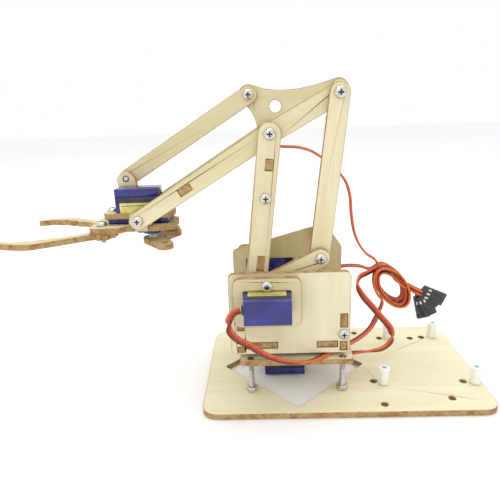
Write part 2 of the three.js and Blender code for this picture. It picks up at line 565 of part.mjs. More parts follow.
function buildGripper() {
  const wrist = new THREE.Group();
  wrist.position.set(WRIST.x, GRIP_Y, WRIST.y);
  arm.add(wrist);
  const plate = rounded([
    [GRIP.rear, -8, 4], [GRIP.rear + 4, -GRIP.half, 3], [7.5, -GRIP.half, 0.6], [10, -GRIP.wide, 2],
    [GRIP.front, -GRIP.wide, 5], [GRIP.front, GRIP.wide, 5], [10, GRIP.wide, 2], [7.5, GRIP.half, 0.6],
    [GRIP.rear + 4, GRIP.half, 3], [GRIP.rear, 8, 4],
  ]);
  const bodyRear = GRIP.servoX - SERVO.shaftFromEnd;
  const half = SERVO.wide / 2 + GAP;
  boxHole(plate, bodyRear - GAP, bodyRear + SERVO.long + GAP, -half, half);
  for (const hand of [-1, 1]) roundHole(plate, GRIP.jawX, hand * GRIP.jawY);
  let board = solid(sheet(plate));
  for (const [hand, tabs] of [[-1, RIGHT_EAR_TABS], [1, LEFT_EAR_TABS]]) {
    const y = hand * (GRIP.half - PLY / 2 + 0.5);
    tabs.forEach(([x0, x1]) => {
      board = board.subtract(solid(block(x0 - GAP, x1 + GAP, y - 2.3, y + 2.3, -1, PLY + 1)));
    });
  }
  add(wrist, 'gripper_plate', shapeOf(board), PLYWOOD, [0, 0, GRIP.plateTop - PLY]);

  const down = servoSolid().rotateX(Math.PI);
  add(wrist, 'gripper_servo', down.rotateZ(Math.PI), SERVO_BLUE,
    [GRIP.servoX, 0, GRIP.plateTop + GAP + SERVO.earTop]);
  const collarLow = GRIP.plateTop + SERVO.earTop - SERVO.earLow + 2 * GAP;
  const collarScrews = [[GRIP_COLLAR.screwX, 0], [-GRIP_COLLAR.screwX, 0]];
  add(wrist, 'gripper_collar', collarSheet(GRIP_COLLAR.halfX, GRIP_COLLAR.halfY, collarScrews), PLYWOOD,
    [GRIP.servoX + SERVO_CENTRE, 0, collarLow]);

  // the ears stand on the plate; both pivot on the forearm, the right one also on the front link
  const low = GRIP.plateTop + GAP;
  const near = [[-7, low, 1.5], [6, low, 1.5], [5, 3.6, 3], [0, 5.2, 4], [-5.5, 3.6, 3]];
  const far = [[-15, low, 2], [11, low, 2], [15.6, 19, 4], [10.3, 25, 4], [5.2, 19, 4], [4, 6, 4],
    [-5, 4, 4], [-15, low + 5, 2]];
  const wristSide = new THREE.Group();
  wristSide.rotation.x = Math.PI / 2;
  wrist.add(wristSide);
  const localZ = (y) => GRIP_Y - y;
  add(wristSide, 'gripper_ear_left', earSheet(near, [[0, 0]], LEFT_EAR_TABS), PLYWOOD,
    [0, 0, localZ(LAYER.earLeft)]);
  const farHoles = [[0, 0], [LEVEL_FRONT.x, LEVEL_FRONT.y]];
  add(wristSide, 'gripper_ear_right', earSheet(far, farHoles, RIGHT_EAR_TABS), PLYWOOD,
    [0, 0, localZ(LAYER.earRight)]);
  const fromLeft = screw(6.6).rotateX(Math.PI);
  add(wristSide, 'wrist_screw_left', fromLeft, STEEL, [0, 0, localZ(LAYER.foreLeft) - GAP + 6.6]);
  const toRight = localZ(LAYER.foreRight) + PLY + GAP;
  add(wristSide, 'wrist_screw_right', screw(6.6), STEEL, [0, 0, toRight - 6.6]);
  add(wristSide, 'front_link_screw', screw(6.6), STEEL, [LEVEL_FRONT.x, LEVEL_FRONT.y, toRight - 6.6]);

  for (const [name, hand] of [['jaw_left', 1], ['jaw_right', -1]]) {
    const at = [GRIP.jawX, hand * GRIP.jawY, GRIP.jawTop - PLY];
    add(wrist, name, jawSheet(hand), PLYWOOD, at);
    const bolt = screw(9.6, 2.8, 1.9);
    add(wrist, `${name}_screw`, bolt, STEEL, [at[0], at[1], GRIP.plateTop + GAP - 9.6]);
  }
  // the lever has two arms: the right one drives the link, the left one is spare
  const leverArm = barShape(GRIP.tail, 5.4, 4.2, false);
  roundHole(leverArm, 0, 0, SERVO.shaftR + GAP);
  roundHole(leverArm, GRIP.tail, 0);
  const rightArm = solid(sheet(leverArm).rotateZ(-TAIL_ANGLE));
  const lever = rightArm.add(solid(sheet(leverArm).rotateZ(TAIL_ANGLE)));
  add(wrist, 'gripper_lever', shapeOf(lever), PLYWOOD, [GRIP.servoX, 0, GRIP.leverTop - PLY]);

  const reach = new THREE.Vector2(GRIP.jawX - GRIP.servoX, -GRIP.jawY);
  const from = along({ x: GRIP.servoX, y: 0 }, -TAIL_ANGLE, GRIP.tail);
  const link = sheet(barShape(reach.length(), 3.4, 3.4), GRIP.linkThick);
  add(wrist, 'gripper_link', link, PLYWOOD, [from.x, from.y, GRIP.linkTop - GRIP.linkThick],
    reach.angle());
}

// ---- servo leads ----
const LEAD_R = 0.9;
const LEAD_STEP = 6;
const LEADS = {
  left_lead: [
    [27.5, 37.3, 56], [30.5, 37.8, 55], [33.2, 38.2, 51], [33, 37.5, 45], [29.5, 36.5, 40], [24, 36, 36.5],
    [16.5, 35.8, 31], [7, 35.5, 27], [-1, 33.5, 24.9], [-8, 29.5, 23.6], [-13.5, 25, 23.4],
    [-19, 20, 23.4], [-26, 15.5, 23.6], [-33, 12, 25], [-40, 8, 28], [-45, 2, 30.5], [-47.5, -3, 32],
  ],
  right_lead: [
    [27.5, -37.3, 56], [30.5, -38, 55], [33, -38.5, 51], [32, -38, 45.5], [27, -36, 41.5], [19, -33.5, 40],
    [10, -32, 40], [0, -32, 41], [-8, -32, 43], [-17, -31, 47.5], [-26, -29, 52], [-34, -25, 55],
    [-41, -20.5, 56], [-46.5, -18.3, 55],
  ],
  base_lead: [
    [-7.6, 0, 6], [-11, 0.6, 6.6], [-15, 2.2, 8.2], [-19, 4.5, 10.2], [-24, 7, 12.6],
    [-29, 8.8, 14.8], [-35, 9.8, 16.2], [-41, 10, 16.8], [-49, 9, 18], [-53.5, 8, 22.5],
    [-53, 7, 28.5], [-48, 5.5, 35], [-43, 4, 41], [-38, 3, 47], [-35.5, 0, 52], [-37.5, -4, 55.5],
    [-42.8, -7, 56.8],
  ],
  gripper_lead: [
    [68.3, -4.95, 104.6], [64.6, -4.6, 107], [60.5, -3.5, 109.6], [55, -2, 112.9], [48, -0.5, 117],
    [41, 0.5, 120.9], [35, 1, 124], [28, 1, 127], [21, 1, 128.9], [15, 0.5, 129.3], [9, 0, 128.9],
    [3, -0.3, 128.4], [-3, -0.3, 127.9], [-9.5, 0, 126], [-15.9, 0, 121.9], [-22.5, 0, 116.4],
    [-27.5, 0, 110], [-30, 0, 102.5], [-31.2, -0.5, 92], [-33.5, -2.5, 81.5], [-37.5, -5, 73],
    [-42, -7, 67.5], [-46.6, -8.6, 64],
  ],
};
// the surplus of the four leads, wound into one upright oval behind the turntable
const BUNDLE = { x: -56.2, z: 47.6, halfX: 14, halfZ: 18, band: 6.5, y0: -17, y1: -3 };
const CONNECTOR_SIZE = [14, 2.6, 7.6];
const CONNECTORS = [
  { at: [-80.5, -9, 41], turn: 0.42 }, { at: [-78.8, -11, 38.2], turn: 0.75 },
  { at: [-77.3, -9.3, 35.2], turn: 1.1 }, { at: [-75.6, -11.3, 33.2], turn: 1.35 },
];

function leadTube(points) {
  const path = new THREE.CatmullRomCurve3(points.map(([x, y, z]) => new THREE.Vector3(x, y, z)));
  const section = new THREE.Shape();
  const sides = 8;
  for (let i = 0; i < sides; i += 1) {
    const angle = (i / sides) * Math.PI * 2;
    if (i === 0) section.moveTo(LEAD_R, 0);
    else section.lineTo(LEAD_R * Math.cos(angle), LEAD_R * Math.sin(angle));
  }
  section.closePath();
  const steps = Math.round(path.getLength() / LEAD_STEP);
  return bare(new THREE.ExtrudeGeometry(section, { steps, extrudePath: path, bevelEnabled: false }));
}

function buildLeads() {
  for (const [name, points] of Object.entries(LEADS)) add(arm, name, leadTube(points), RIBBON);
  const ring = new THREE.Shape();
  ring.absellipse(0, 0, BUNDLE.halfX, BUNDLE.halfZ, 0, Math.PI * 2, false);
  const eye = new THREE.Path();
  eye.absellipse(0, 0, BUNDLE.halfX - BUNDLE.band, BUNDLE.halfZ - BUNDLE.band, 0, Math.PI * 2, true);
  ring.holes.push(eye);
  const thick = BUNDLE.y1 - BUNDLE.y0;
  add(side, 'lead_bundle', sheet(ring, thick, 10), RIBBON, [BUNDLE.x, BUNDLE.z, -BUNDLE.y1]);

  let stack = null;
  for (const { at, turn } of CONNECTORS) {
    const box = solid(new THREE.BoxGeometry(...CONNECTOR_SIZE).rotateY(-turn).translate(...at));
    stack = stack ? stack.add(box) : box;
  }
  add(arm, 'lead_connectors', shapeOf(stack), CONNECTOR);
}

buildBase();
buildTurntable();
buildUpperArm();
buildDrive();
buildLevelLinks();
buildForearm();
buildGripper();
buildLeads();

export default arm;
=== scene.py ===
# The looks of a laser-cut plywood desktop robot arm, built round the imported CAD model.
# Metres, in the row frame: +X to the gripper, +Y the arm's left, +Z up.
import json
import math

import bmesh
import bpy
from mathutils import Matrix, Vector


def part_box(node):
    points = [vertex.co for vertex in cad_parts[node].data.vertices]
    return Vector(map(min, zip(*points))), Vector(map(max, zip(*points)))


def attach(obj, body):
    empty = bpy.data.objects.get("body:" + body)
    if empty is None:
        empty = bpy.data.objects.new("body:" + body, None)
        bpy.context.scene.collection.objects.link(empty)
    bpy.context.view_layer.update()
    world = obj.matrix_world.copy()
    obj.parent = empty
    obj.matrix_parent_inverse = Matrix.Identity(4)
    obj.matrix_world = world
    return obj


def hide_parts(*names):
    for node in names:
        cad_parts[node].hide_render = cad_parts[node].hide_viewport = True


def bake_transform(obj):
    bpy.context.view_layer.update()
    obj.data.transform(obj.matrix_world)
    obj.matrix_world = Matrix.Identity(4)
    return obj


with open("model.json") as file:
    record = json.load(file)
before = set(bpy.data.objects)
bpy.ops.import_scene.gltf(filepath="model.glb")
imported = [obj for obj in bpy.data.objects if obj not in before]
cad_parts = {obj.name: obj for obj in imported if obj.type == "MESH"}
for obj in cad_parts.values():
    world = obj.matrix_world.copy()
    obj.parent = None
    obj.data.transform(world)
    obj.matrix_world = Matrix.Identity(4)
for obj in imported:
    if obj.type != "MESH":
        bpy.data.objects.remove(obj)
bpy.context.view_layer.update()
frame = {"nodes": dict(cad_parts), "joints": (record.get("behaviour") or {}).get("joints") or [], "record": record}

MM = 0.001
AXIS_X = 60 * MM  # turntable axis
MERGE = 0.02 * MM  # corners nearer than this are one corner
TURN = 2 * math.pi
X, Y, Z = Vector((1, 0, 0)), Vector((0, 1, 0)), Vector((0, 0, 1))
PIVOT = {joint["name"]: Vector(joint["pos_m"]) for joint in frame["joints"]}
BODY_OF = {n: b for b, ns in frame["record"]["behaviour"]["bodies"].items() for n in ns}
UPPER_ANGLE = math.radians(96.4)
FORE_ANGLE = math.radians(-31)
CRANK_ANGLE = math.radians(152)


def place(x, y, z):
    """A point from the turntable's axis in millimetres, as a place in the row frame."""
    return Vector((AXIS_X + x * MM, y * MM, z * MM))


# ---- camera ----
def add_camera(at, yaw, pitch, roll, lens):
    """A camera that looks towards -Y, turned by yaw, tilted down by pitch and rolled."""
    ahead = Vector((
        math.sin(yaw) * math.cos(pitch), -math.cos(yaw) * math.cos(pitch), -math.sin(pitch)))
    right = ahead.cross(Z).normalized()
    up = right.cross(ahead)
    across = right * math.cos(roll) + up * math.sin(roll)
    upright = up * math.cos(roll) - right * math.sin(roll)
    data = bpy.data.cameras.new("camera")
    data.lens = lens
    data.clip_start = 0.01
    camera = bpy.data.objects.new("camera", data)
    bpy.context.scene.collection.objects.link(camera)
    camera.matrix_world = Matrix((across, upright, -ahead)).transposed().to_4x4()
    camera.matrix_world.translation = at
    bpy.context.scene.camera = camera


add_camera(place(14.9, 236.3, 147.5), math.radians(1.96), math.radians(17.2),
           math.radians(-2.28), 32.9)


# ---- materials ----
class Surface:
    """A node material with a Principled shader, and short calls to add nodes to it."""

    def __init__(self, name, **settings):
        self.material = bpy.data.materials.new(name)
        self.material.use_nodes = True
        self.tree = self.material.node_tree
        self.tree.nodes.clear()
        output = self.tree.nodes.new("ShaderNodeOutputMaterial")
        self.shader = self.tree.nodes.new("ShaderNodeBsdfPrincipled")
        self.tree.links.new(self.shader.outputs[0], output.inputs[0])
        for key, value in settings.items():
            self.shader.inputs[key.replace("_", " ")].default_value = value
        self.coords = self.tree.nodes.new("ShaderNodeTexCoord").outputs["Object"]

    def fill(self, node, inputs):
        for key, value in inputs.items():
            socket = node.inputs[key]
            if isinstance(value, bpy.types.NodeSocket):
                self.tree.links.new(value, socket)
            else:
                socket.default_value = value
        return node

    def node(self, kind, inputs, **properties):
        node = self.tree.nodes.new(kind)
        for key, value in properties.items():
            setattr(node, key, value)
        return self.fill(node, inputs)

    def math(self, operation, a, b=0.0):
        return self.node("ShaderNodeMath", {0: a, 1: b}, operation=operation).outputs[0]

    def mapped(self, turn=(0, 0, 0), scale=(1, 1, 1), move=(0, 0, 0)):
        return self.node("ShaderNodeMapping", {
            "Vector": self.coords, "Rotation": turn, "Scale": scale, "Location": move}).outputs[0]

    def noise(self, vector, scale, detail=3.0, rough=0.55):
        return self.node("ShaderNodeTexNoise", {
            "Vector": vector, "Scale": scale, "Detail": detail, "Roughness": rough}).outputs[0]

    def ramp(self, factor, stops):
        node = self.node("ShaderNodeValToRGB", {0: factor})
        elements = node.color_ramp.elements
        while len(elements) < len(stops):
            elements.new(0.5)
        for element, (at, color) in zip(elements, stops):
            element.position = at
            element.color = (*color, 1)
        return node.outputs[0]

    def mix(self, factor, a, b, blend="MIX"):
        node = self.tree.nodes.new("ShaderNodeMix")
        node.data_type = "RGBA"
        node.blend_type = blend
        for key, value in ((0, factor), (6, a), (7, b)):
            if isinstance(value, tuple):
                value = (*value, 1)
            self.fill(node, {key: value})
        return node.outputs[2]

    def bump(self, height, distance, strength=1.0):
        node = self.node("ShaderNodeBump", {
            "Height": height, "Distance": distance, "Strength": strength})
        self.fill(self.shader, {"Normal": node.outputs[0]})

    def color(self, value):
        self.fill(self.shader, {"Base Color": value})


CREAM = (0.71, 0.625, 0.375)
PALE = (0.80, 0.735, 0.49)
AMBER = (0.65, 0.555, 0.31)
TAN = (0.54, 0.42, 0.20)
BROWN_AND_SHADED = (0.50, 0.37, 0.16)
PALE_AND_LIT = (0.86, 0.82, 0.62)
# sheets made paler or browner than the rest: how far, and towards which colour. Partly each sheet's own tone and
# partly painted light and shade: the paler tints are painted light on sheets that face up or towards the lamps,
# the browner ones painted shade on sheets seen in shadow, such as the right plate's inner face and the plate
# between the side plates
SHEET_TONE_LIGHT_AND_SHADE = {
    "base_plate": (0.45, PALE_AND_LIT), "left_side_plate": (0.4, PALE_AND_LIT), "servo_deck": (0.2, PALE_AND_LIT),
    "right_side_plate": (0.4, BROWN_AND_SHADED), "front_cross_plate": (0.5, BROWN_AND_SHADED), "jaw_left": (0.45, BROWN_AND_SHADED),
    "jaw_right": (0.45, BROWN_AND_SHADED), "gripper_plate": (0.35, BROWN_AND_SHADED), "gripper_lever": (0.6, BROWN_AND_SHADED),
    "gripper_link": (0.5, BROWN_AND_SHADED), "left_collar": (0.15, BROWN_AND_SHADED),
}
SCORCH = (0.13, 0.052, 0.014)
BURNT = (0.27, 0.125, 0.036)
TOASTED = (0.46, 0.26, 0.09)


def ply_turns(axis, angle):
    """Object coordinates turned so that x runs with the grain and z through the sheet."""
    if axis == "Y":
        return (math.radians(90), 0, angle)
    if axis == "X":
        return (0, math.radians(90), angle)
    return (0, 0, angle)


def ply_face(axis, angle, seed, tone_light_shade):
    s = Surface(f"plywood_face_{axis}_{seed}", Roughness=0.55)
    grain = s.mapped(ply_turns(axis, angle), move=(seed * 0.37, seed * 0.11, 0))
    along = s.node("ShaderNodeVectorMath", {0: grain, 1: (90, 1400, 60)}, operation="MULTIPLY")
    streak = s.noise(along.outputs[0], 1.0, 4.0, 0.6)
    wide = s.node("ShaderNodeVectorMath", {0: grain, 1: (12, 130, 20)}, operation="MULTIPLY")
    figure = s.noise(wide.outputs[0], 1.0, 3.0, 0.5)
    drift = s.noise(s.coords, 18.0, 2.0)
    base = s.ramp(figure, [(0.25, AMBER), (0.42, CREAM), (0.62, PALE), (0.8, CREAM)])
    base = s.mix(0.22, base, s.ramp(streak, [(0.32, TAN), (0.5, CREAM), (0.7, PALE)]))
    base = s.mix(s.math("MULTIPLY", drift, 0.3), base, CREAM)
    # the sheet's tint: partly its own tone, partly painted light and shade
    base = s.mix(tone_light_shade[0], base, tone_light_shade[1])
    scorch = s.node("ShaderNodeAttribute", {}, attribute_name="scorch").outputs["Fac"]
    patchy = s.math("MULTIPLY", s.noise(s.coords, 420.0, 2.0), 1.3)
    burn = s.math("MULTIPLY", s.math("POWER", scorch, 1.8), patchy)
    s.color(s.mix(s.math("MINIMUM", burn, 0.6), base, BURNT))
    s.bump(streak, 0.00003, 0.5)
    return s.material


def ply_edge(axis):
    s = Surface(f"plywood_edge_{axis}", Roughness=0.7)
    layers = s.noise(s.coords, 260.0, 2.0)
    char = s.noise(s.mapped(scale=(900, 900, 900)), 1.0, 3.0)
    base = s.ramp(layers, [(0.3, BURNT), (0.45, TOASTED), (0.6, TAN), (0.75, TOASTED)])
    s.color(s.mix(0.4, base, s.ramp(char, [(0.35, SCORCH), (0.65, TOASTED)])))
    s.bump(char, 0.00005, 0.6)
    return s.material


PLY_EDGE = {axis: ply_edge(axis) for axis in "XYZ"}


def servo_blue():
    s = Surface("servo_plastic", Roughness=0.16, IOR=1.5, Transmission_Weight=0.25,
                Coat_Weight=0.4, Coat_Roughness=0.1)
    flow = s.noise(s.mapped(scale=(60, 90, 140)), 1.0, 3.0)
    s.color(s.ramp(flow, [(0.3, (0.008, 0.009, 0.13)), (0.55, (0.016, 0.018, 0.25)),
                          (0.75, (0.035, 0.040, 0.40))]))
    s.bump(s.noise(s.coords, 900.0, 2.0), 0.00002, 0.3)
    return s.material


def metal(name, dark, light, rough):
    s = Surface(name, Metallic=1.0, Roughness=rough)
    brushed = s.noise(s.mapped(scale=(500, 500, 2400)), 1.0, 3.0)
    s.color(s.ramp(brushed, [(0.3, dark), (0.7, light)]))
    s.bump(brushed, 0.00001, 0.4)
    return s.material


def plastic(name, dark, light, rough, scale=400.0, **more):
    s = Surface(name, Roughness=rough, **more)
    mottle = s.noise(s.coords, scale, 3.0)
    s.color(s.ramp(mottle, [(0.3, dark), (0.7, light)]))
    s.bump(mottle, 0.00002, 0.4)
    return s.material


STEEL = metal("screw_steel", (0.50, 0.49, 0.47), (0.80, 0.79, 0.76), 0.28)
# near-black steel for screw recesses: painted shade in the hollows
SHADED_RECESS_STEEL = metal("screw_recess_painted_shade", (0.05, 0.05, 0.05), (0.16, 0.15, 0.14), 0.5)
BRASS = metal("servo_brass", (0.55, 0.38, 0.12), (0.75, 0.55, 0.22), 0.35)
NYLON = plastic("nylon_white", (0.88, 0.89, 0.83), (0.94, 0.95, 0.90), 0.35,
                Subsurface_Weight=0.4, Subsurface_Scale=0.003)
HORN = plastic("horn_white", (0.70, 0.70, 0.67), (0.82, 0.82, 0.79), 0.38)
LABEL_GOLD = plastic("label_gold", (0.60, 0.54, 0.16), (0.78, 0.72, 0.28), 0.35, Metallic=0.3)
LABEL_DARK = plastic("label_dark", (0.015, 0.015, 0.02), (0.05, 0.05, 0.06), 0.35)
# near-black blue for the joins of the servo case: painted shade in the seams
SHADED_SEAM = plastic("servo_seam_painted_shade", (0.004, 0.004, 0.03), (0.012, 0.012, 0.09), 0.5)
HOUSING = plastic("connector_black", (0.012, 0.012, 0.012), (0.05, 0.05, 0.045), 0.45)
WIRES = [
    plastic("wire_brown", (0.11, 0.018, 0.010), (0.19, 0.036, 0.020), 0.42, 700.0),
    plastic("wire_red", (0.38, 0.028, 0.012), (0.54, 0.055, 0.024), 0.40, 700.0),
    plastic("wire_orange", (0.56, 0.100, 0.022), (0.72, 0.175, 0.045), 0.40, 700.0),
]
SERVO_SURFACES = [servo_blue(), SHADED_SEAM, LABEL_GOLD, LABEL_DARK, STEEL, BRASS, HORN, SHADED_RECESS_STEEL]
BLUE, SHADED_SEAM_I, GOLD_I, DARK_I, STEEL_I, BRASS_I, WHITE_I, SHADED_RECESS_I = range(8)


# ---- mesh helpers ----
def make(name, bm, materials, body, smooth=0.6):
    """An object from a bmesh, shaded smooth below an angle, that rides on a body."""
    bmesh.ops.recalc_face_normals(bm, faces=bm.faces)
    mesh = bpy.data.meshes.new(name)
    for face in bm.faces:
        face.smooth = True
    for edge in bm.edges:
        if len(edge.link_faces) == 2 and edge.calc_face_angle(0) > smooth:
            edge.smooth = False
    bm.to_mesh(mesh)
    bm.free()
    for material in materials:
        mesh.materials.append(material)
    piece = bpy.data.objects.new(name, mesh)
    bpy.context.scene.collection.objects.link(piece)
    if body:
        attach(piece, body)
    return piece


def paint(faces, index):
    for face in faces:
        face.material_index = index


def add_box(bm, low, high, round_by=0.0, index=0):
    """A box in millimetres with rounded edges."""
    before = set(bm.faces)
    size = Vector(high) - Vector(low)
    middle = (Vector(high) + Vector(low)) / 2
    made = bmesh.ops.create_cube(bm, size=1)
    verts = made["verts"]
    bmesh.ops.scale(bm, vec=size, verts=verts)
    bmesh.ops.translate(bm, vec=middle, verts=verts)
    if round_by:
        edges = {e for v in verts for e in v.link_edges}
        bmesh.ops.bevel(bm, geom=list(edges), offset=round_by, segments=2, affect="EDGES",
                        profile=0.5, clamp_overlap=True)
    paint([face for face in bm.faces if face not in before], index)


def add_lathe(bm, profile, sides, index=0, matrix=None):
    """Rings of (radius, height) about +Z; a radius of zero closes the end."""
    rings = []
    for radius, height in profile:
        if radius <= 0:
            rings.append([bm.verts.new((0, 0, height))])
        else:
            rings.append([bm.verts.new((
                radius * math.cos(TURN * i / sides), radius * math.sin(TURN * i / sides), height))
                for i in range(sides)])
    faces = []
    for low, high in zip(rings, rings[1:]):
        for i in range(sides):
            j = (i + 1) % sides
            quad = [low[i % len(low)], low[j % len(low)], high[j % len(high)], high[i % len(high)]]
            faces.append(bm.faces.new(list(dict.fromkeys(quad))))
    paint(faces, index)
    if matrix:
        bmesh.ops.transform(bm, matrix=matrix, verts=[v for ring in rings for v in ring])


THREAD_PITCH = 0.5
THREAD_DEPTH = 0.3


def add_thread(bm, radius, z0, z1, matrix):
    """A screw thread: a strip whose crest and root climb together round +Z."""
    sides = 14
    root = radius - THREAD_DEPTH
    count = int((z1 - z0) / THREAD_PITCH * sides)
    crest, valley = [], []
    for k in range(count + 1):
        angle = TURN * k / sides
        height = z0 + THREAD_PITCH * k / sides
        c, s = math.cos(angle), math.sin(angle)
        crest.append(bm.verts.new((radius * c, radius * s, min(height, z1))))
        valley.append(bm.verts.new((root * c, root * s, min(height + THREAD_PITCH / 2, z1))))
    for k in range(count):
        bm.faces.new((crest[k], crest[k + 1], valley[k + 1], valley[k]))
        if k + 1 + sides <= count:
            bm.faces.new((valley[k], valley[k + 1], crest[k + 1 + sides], crest[k + sides]))
    bmesh.ops.transform(bm, matrix=matrix, verts=crest + valley)


def frame_matrix(at, axis):
    """Millimetres along +Z turned to run along axis from a place."""
    return Matrix.Translation(at) @ axis.to_track_quat("Z", "Y").to_matrix().to_4x4() @ \
        Matrix.Scale(MM, 4)


# ---- plywood ----
SHEETS = {
    "base_plate": ("Z", 0.0), "servo_deck": ("Z", 0.0), "turntable_floor": ("Z", 0.0),
    "left_side_plate": ("Y", math.radians(90)), "right_side_plate": ("Y", math.radians(90)),
    "front_cross_plate": ("X", 0.0), "rear_cross_plate": ("X", 0.0),
    "left_collar": ("Y", 0.0), "right_collar": ("Y", 0.0),
    "upper_arm_left": ("Y", UPPER_ANGLE), "upper_arm_right": ("Y", UPPER_ANGLE),
    "upper_arm_brace": ("X", math.radians(90)), "elbow_crank": ("Y", CRANK_ANGLE),
    "drive_link": ("Y", UPPER_ANGLE), "rear_level_link": ("Y", UPPER_ANGLE),
    "level_triangle": ("Y", 0.0), "front_level_link": ("Y", FORE_ANGLE),
    "forearm_left": ("Y", FORE_ANGLE), "forearm_right": ("Y", FORE_ANGLE),
    "forearm_brace": ("Z", 0.0), "gripper_plate": ("Z", 0.0), "gripper_collar": ("Z", 0.0),
    "gripper_ear_left": ("Y", 0.0), "gripper_ear_right": ("Y", 0.0),
    "jaw_left": ("Z", 0.0), "jaw_right": ("Z", 0.0), "gripper_lever": ("Z", 0.0),
    "gripper_link": ("Z", 0.0),
}
THICKNESS_DIRECTION = {"X": X, "Y": Y, "Z": Z}
RIM = 0.14 * MM  # the softened edge of a cut
HALO = 0.4 * MM  # the scorched ring beside it


def through(node, axis):
    """The direction through a node's sheet."""
    if node == "upper_arm_brace":
        return Vector((math.sin(UPPER_ANGLE), 0, -math.cos(UPPER_ANGLE)))
    if node == "forearm_brace":
        return Vector((-math.sin(FORE_ANGLE), 0, math.cos(FORE_ANGLE)))
    return THICKNESS_DIRECTION[axis]


def plywood(node, axis, angle, seed):
    """The CAD sheet with softened, laser-burnt rims and a scorched halo on both faces."""
    normal = through(node, axis)
    bm = bmesh.new()
    bm.from_mesh(frame["nodes"][node].data)
    bmesh.ops.remove_doubles(bm, verts=bm.verts, dist=MERGE)
    bmesh.ops.recalc_face_normals(bm, faces=bm.faces)
    rims = [e for e in bm.edges if len(e.link_faces) == 2
            and {abs(f.normal.dot(normal)) > 0.7 for f in e.link_faces} == {True, False}]
    bmesh.ops.bevel(bm, geom=rims, offset=RIM, segments=1, affect="EDGES", clamp_overlap=True)
    bm.normal_update()
    scorch = bm.verts.layers.float.new("scorch")
    for vert in bm.verts:
        vert[scorch] = 1.0
    flat = [f for f in bm.faces if abs(f.normal.dot(normal)) > 0.97]
    inset = bmesh.ops.inset_region(bm, faces=flat, thickness=HALO, use_even_offset=True,
                                   use_boundary=True)
    ring = set(inset["faces"])
    for face in flat:
        for vert in face.verts:
            vert[scorch] = 0.0
    for face in bm.faces:
        on_face = face in ring or abs(face.normal.dot(normal)) > 0.97
        face.material_index = 0 if on_face else 1
    face_surface = ply_face(axis, angle, seed, SHEET_TONE_LIGHT_AND_SHADE.get(node, (0.0, CREAM)))
    piece = make(node + "_ply", bm, [face_surface, PLY_EDGE[axis]], BODY_OF[node])
    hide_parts(node)
    return piece


for order, (node, (axis, angle)) in enumerate(SHEETS.items()):
    plywood(node, axis, angle, order + 1)


# ---- servo leads ----
LEAD_POINTS = {
    "left_lead": [
        (27.5, 37.3, 56), (30.5, 37.8, 55), (33.2, 38.2, 51), (33, 37.5, 45), (29.5, 36.5, 40),
        (24, 36, 36.5), (16.5, 35.8, 31), (7, 35.5, 27), (-1, 33.5, 24.9), (-8, 29.5, 23.6),
        (-13.5, 25, 23.4), (-19, 20, 23.4), (-26, 15.5, 23.6), (-33, 12, 25), (-40, 8, 28),
        (-45, 2, 30.5), (-47.5, -3, 32)],
    "right_lead": [
        (27.5, -37.3, 56), (30.5, -38, 55), (33, -38.5, 51), (32, -38, 45.5), (27, -36, 41.5),
        (19, -33.5, 40), (10, -32, 40), (0, -32, 41), (-8, -32, 43), (-17, -31, 47.5),
        (-26, -29, 52), (-34, -25, 55), (-41, -20.5, 56), (-46.5, -18.3, 55)],
    "base_lead": [
        (-7.6, 0, 6), (-11, 0.6, 6.6), (-15, 2.2, 8.2), (-19, 4.5, 10.2), (-24, 7, 12.6),
        (-29, 8.8, 14.8), (-35, 9.8, 16.2), (-41, 10, 16.8), (-49, 9, 18), (-53.5, 8, 22.5),
        (-53, 7, 28.5), (-48, 5.5, 35), (-43, 4, 41), (-38, 3, 47), (-35.5, 0, 52),
        (-37.5, -4, 55.5), (-42.8, -7, 56.8)],
    "gripper_lead": [
        (68.3, -4.95, 104.6), (64.6, -4.6, 107), (60.5, -3.5, 109.6), (55, -2, 112.9),
        (48, -0.5, 117), (41, 0.5, 120.9), (35, 1, 124), (28, 1, 127), (21, 1, 128.9),
        (15, 0.5, 129.3), (9, 0, 128.9), (3, -0.3, 128.4), (-3, -0.3, 127.9), (-9.5, 0, 126),
        (-15.9, 0, 121.9), (-22.5, 0, 116.4), (-27.5, 0, 110), (-30, 0, 102.5),
        (-31.2, -0.5, 92), (-33.5, -2.5, 81.5), (-37.5, -5, 73), (-42, -7, 67.5),
        (-46.6, -8.6, 64)],
}
WIRE_R = 0.62
WIRE_GAP = 1.2
BUNDLE_CENTRE = Vector((-56.2, -10, 47.6))
BUNDLE_TILT = math.radians(35)
BUNDLE_LONG = 15.2
BUNDLE_SHORT = 9.4
PER_TURN = 18


def turn_point(angle, inset, y):
    """A point on the wound bundle: an ellipse in XZ that leans forward."""
    a = (BUNDLE_LONG - inset) * math.sin(angle)
    b = (BUNDLE_SHORT - inset) * math.cos(angle)
    wobble = 0.5 * math.sin(3 * angle + y)
    return (
        BUNDLE_CENTRE.x + a * math.sin(BUNDLE_TILT) + b * math.cos(BUNDLE_TILT),
        y + wobble,
        BUNDLE_CENTRE.z + a * math.cos(BUNDLE_TILT) - b * math.sin(BUNDLE_TILT))


def winding(first, last, inset0, inset1, y0, y1):
    """Turns round the bundle between two angles, drifting across it."""
    count = max(2, int(abs(last - first) / TURN * PER_TURN))
    points = []
    for i in range(count + 1):
        t = i / count
        points.append(turn_point(
            first + (last - first) * t, inset0 + (inset1 - inset0) * t, y0 + (y1 - y0) * t))
    return points


